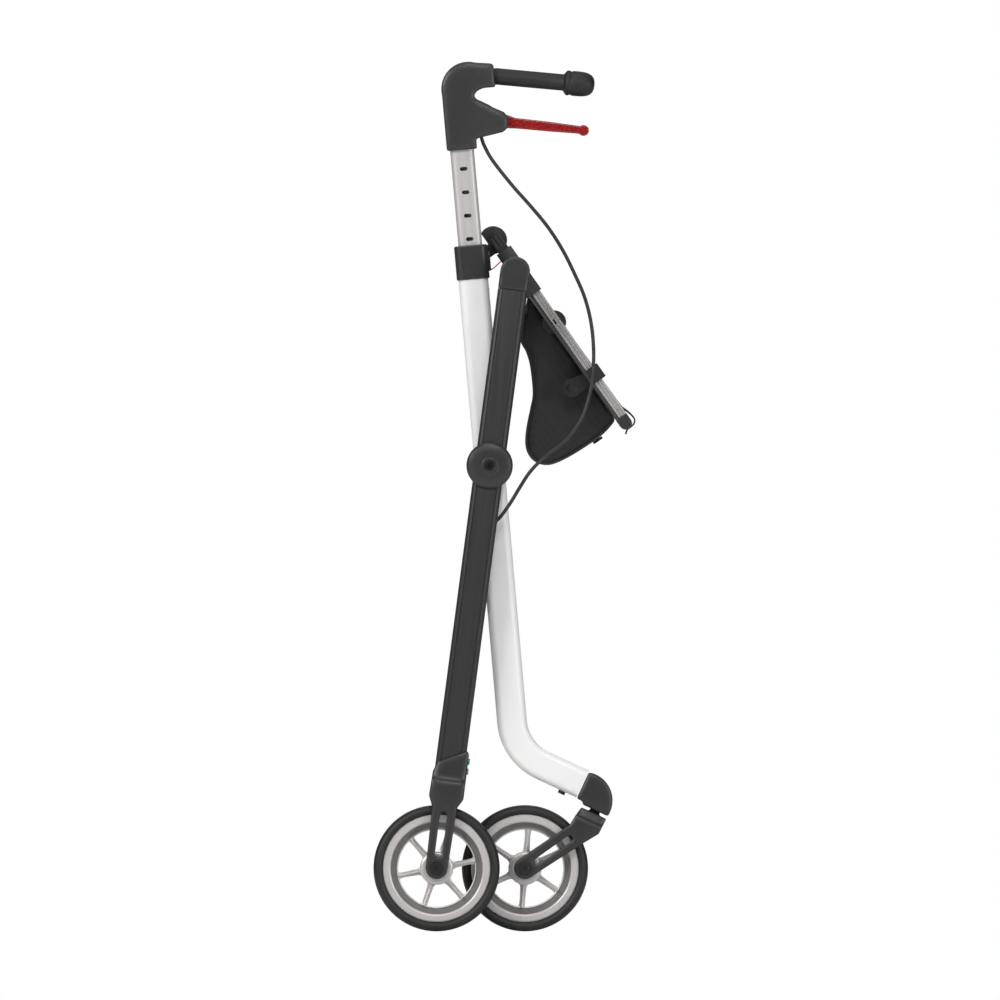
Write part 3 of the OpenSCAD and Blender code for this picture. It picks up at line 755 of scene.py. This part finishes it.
HUB_PROFILE = [(0.0111, -0.0130), (0.0142, -0.0130), (0.0150, -0.0122), (0.0151, -0.0100),
               (0.0172, -0.0096), (0.0183, -0.0086), (0.0185, -0.0060), (0.0185, 0.0060),
               (0.0183, 0.0086), (0.0172, 0.0096), (0.0151, 0.0100), (0.0150, 0.0122),
               (0.0142, 0.0130), (0.0111, 0.0130), (0.0111, 0.0054), (0.0096, 0.0052),
               (0.0096, -0.0052), (0.0111, -0.0054)]
# inner and outer radius of the rim's recess, whose faces are painted darker as painted shade
RECESS = (0.0438, 0.0508)
AXLE = Vector((0, 1, 0))
SPOKES = 6
SPOKE_START = {"front": math.radians(-25.3), "rear": math.radians(-11.2)}
# half of a spoke's section: across and along the axle, with a rib on each face
SPOKE_SECTION = [(0.0031, 0.0), (0.0032, 0.0022), (0.0026, 0.0029), (0.0014, 0.0030),
                 (0.0010, 0.0036), (0.0008, 0.0058), (0.0, 0.0062)]


def spoke(centre, angle):
    """One spoke, flared where it meets the hub and the rim."""
    out = Vector((math.cos(angle), 0, -math.sin(angle)))
    across = Vector((math.sin(angle), 0, math.cos(angle)))
    half = SPOKE_SECTION
    ring = (half + [(-a, d) for a, d in reversed(half[:-1])]
            + [(-a, -d) for a, d in half[1:]] + [(a, -d) for a, d in reversed(half[1:-1])])
    verts, faces = [], []
    stops = (0.0165, 0.018, 0.021, 0.028, 0.036, 0.041, 0.0435, 0.0445)
    flare = (1.9, 1.5, 1.12, 1.0, 0.94, 1.05, 1.35, 1.7)
    n = len(ring)
    for r, k in zip(stops, flare):
        verts += [centre + out * r + across * a * k + AXLE * d for a, d in ring]
    for j in range(len(stops) - 1):
        for i in range(n):
            i2 = (i + 1) % n
            faces.append((j * n + i, j * n + i2, (j + 1) * n + i2, (j + 1) * n + i))
    faces.append(tuple(range(n)))
    faces.append(tuple((len(stops) - 1) * n + i for i in reversed(range(n))))
    return verts, faces


def make_wheels():
    for place in ("front", "rear"):
        for name, _ in SIDES:
            body = f"wheel_{place}_{name}"
            centre = Vector(JOINTS[f"{place}_wheel_spin_{name}"]["pos_m"])
            tyre = add_piece(f"tyre_{place}_{name}_soft", *lathe(TYRE_PROFILE, centre, AXLE, 96),
                             "tyre", body, (f"tyre_{place}_{name}",))
            sharpen(tyre.data, math.radians(40))
            parts = [lathe(RIM_PROFILE, centre, AXLE, 96), lathe(HUB_PROFILE, centre, AXLE, 48)]
            parts += [spoke(centre, SPOKE_START[place] + 2 * math.pi * k / SPOKES)
                      for k in range(SPOKES)]
            rim = add_piece(f"rim_{place}_{name}_soft", *joined(parts), "rim_grey", body,
                            (f"rim_{place}_{name}",))
            sharpen(rim.data, math.radians(42))
            # faces in the recess get the darker material: painted shade for the recess in shadow
            rim.data.materials.append(MATERIALS["rim_shade"])
            for face in rim.data.polygons:
                off = Vector(face.center) - centre
                if RECESS[0] < math.hypot(off.x, off.z) < RECESS[1] and abs(off.y) > 0.002:
                    face.material_index = 1


# ---- grips and rails -------------------------------------------------------

GRIP_AT = (0.043, 0.4293)
GRIP_DROP = math.radians(10.2)
# radius and distance along the grip from the housing's mouth
GRIP_PROFILE = [(0.0001, -0.006), (0.0070, -0.006), (0.0072, -0.002), (0.0086, -0.0016),
                (0.0092, 0.0010), (0.0092, 0.030), (0.0092, 0.0760), (0.0099, 0.0772),
                (0.0118, 0.0784), (0.0133, 0.0796), (0.0139, 0.0812), (0.0139, 0.0826),
                (0.0133, 0.0838), (0.0130, 0.0846), (0.0132, 0.0856), (0.0137, 0.0866),
                (0.0139, 0.0890), (0.0138, 0.0960), (0.0134, 0.1000), (0.0124, 0.1040),
                (0.0106, 0.1074), (0.0078, 0.1098), (0.0040, 0.1110), (0.0001, 0.1113)]


def make_grips():
    along = TUBE_AHEAD * math.cos(GRIP_DROP) - TUBE_UP * math.sin(GRIP_DROP)
    for name, side in SIDES:
        start = on_tube(*GRIP_AT, y=side * FRONT_Y)
        grip = add_piece(f"grip_{name}_soft", *lathe(GRIP_PROFILE, start, along, 64),
                         "black_rubber", f"handle_{name}", (f"grip_{name}",))
        sharpen(grip.data, math.radians(50))


RAIL_Y = 0.212
RAIL_ENDS = (-0.022, 0.199)
# the rail's faces lower than this get a darker colour: painted shade for the rail's lower band
PAINTED_SHADE_BELOW = -0.0022
# outer half of the rail's section: up (w) and outward, with its grooves
RAIL_FACE = [(0.0071, 0.0), (0.0071, 0.0054), (0.0066, 0.0066), (0.0056, 0.0070),
             (0.0046, 0.0070), (0.0044, 0.0062), (0.0038, 0.0062), (0.0036, 0.0070),
             (0.0020, 0.0070), (0.0017, 0.0056), (-0.0002, 0.0056), (-0.0005, 0.0070),
             (-0.0022, 0.0068), (-0.0025, 0.0058), (-0.0031, 0.0056), (-0.0034, 0.0064),
             (-0.0046, 0.0060), (-0.0058, 0.0048), (-0.0066, 0.0032), (-0.0071, 0.0010)]


def make_rails():
    for name, side in SIDES:
        ring = (RAIL_FACE
                + [(-0.0071, -0.0070), (0.0010, -0.0070), (0.0010, -0.0045), (0.0026, -0.0045),
                   (0.0026, -0.0070), (0.0071, -0.0070)])
        n = len(ring)
        verts = [on_rail(u, w, side * (RAIL_Y + a)) for u in RAIL_ENDS for w, a in ring]
        faces = [(i, (i + 1) % n, n + (i + 1) % n, n + i) for i in range(n)]
        faces += [tuple(range(n)), tuple(reversed(range(n, 2 * n)))]
        rail = add_piece(f"seat_rail_{name}_drawn", verts, faces, "bright_aluminium",
                         "seat_frame", (f"seat_rail_{name}",), smooth=False)
        sharpen(rail.data, math.radians(24))
        # the lower band of the rail gets the darker material: painted shade where its lower side
        # is in shadow
        rail.data.materials.append(MATERIALS["rail_painted_shade"])
        for face in rail.data.polygons:
            across = [(Vector(rail.data.vertices[i].co) - SEAT_PIVOT).dot(RAIL_UP) - RAIL_OFF
                      for i in face.vertices]
            if len(across) == 4 and max(across) < PAINTED_SHADE_BELOW:
                face.material_index = 1


# ---- everything else -------------------------------------------------------

# width of the rounding on each of these nodes' edges
EDGES = {
    "pivot_caps": 0.0008, "seat_sleeves": 0.0010, "seat_hooks": 0.0008,
    "rear_leg_left": 0.0008, "rear_leg_right": 0.0008, "bag_buckle": 0.0008,
    "height_button_left": 0.0006, "height_button_right": 0.0006,
}
# voxel size, passes that round everything, passes that crown the side faces
SOFT = {
    "handle_housing_left": (0.0012, 12, 110), "handle_housing_right": (0.0012, 12, 110),
    "brake_lever_left": (0.0007, 16, 0), "brake_lever_right": (0.0007, 16, 0),
    "caster_heads": (0.0012, 14, 110), "caster_fork_left": (0.0010, 12, 150),
    "caster_fork_right": (0.0010, 12, 150), "rear_forks": (0.0011, 12, 180),
    "leg_caps": (0.0010, 8, 40), "collars": (0.0010, 8, 0), "rail_rear_caps": (0.0006, 5, 0),
    "rail_front_caps": (0.0007, 10, 0), "bag_hangers": (0.0006, 5, 0),
}


def main():
    make_camera()
    make_materials()
    make_cables()
    make_studio()
    for node, obj in NODES.items():
        paint(obj, NODE_MATERIAL.get(node, SLOTS[node]))
    for node, width in EDGES.items():
        rounded(node, width)
    for node, (voxel, passes, crown) in SOFT.items():
        softened(node, voxel, passes, crown)
    make_wheels()
    make_grips()
    make_rails()
    make_bag()
    make_seat_cloth()
    make_strap()


main()
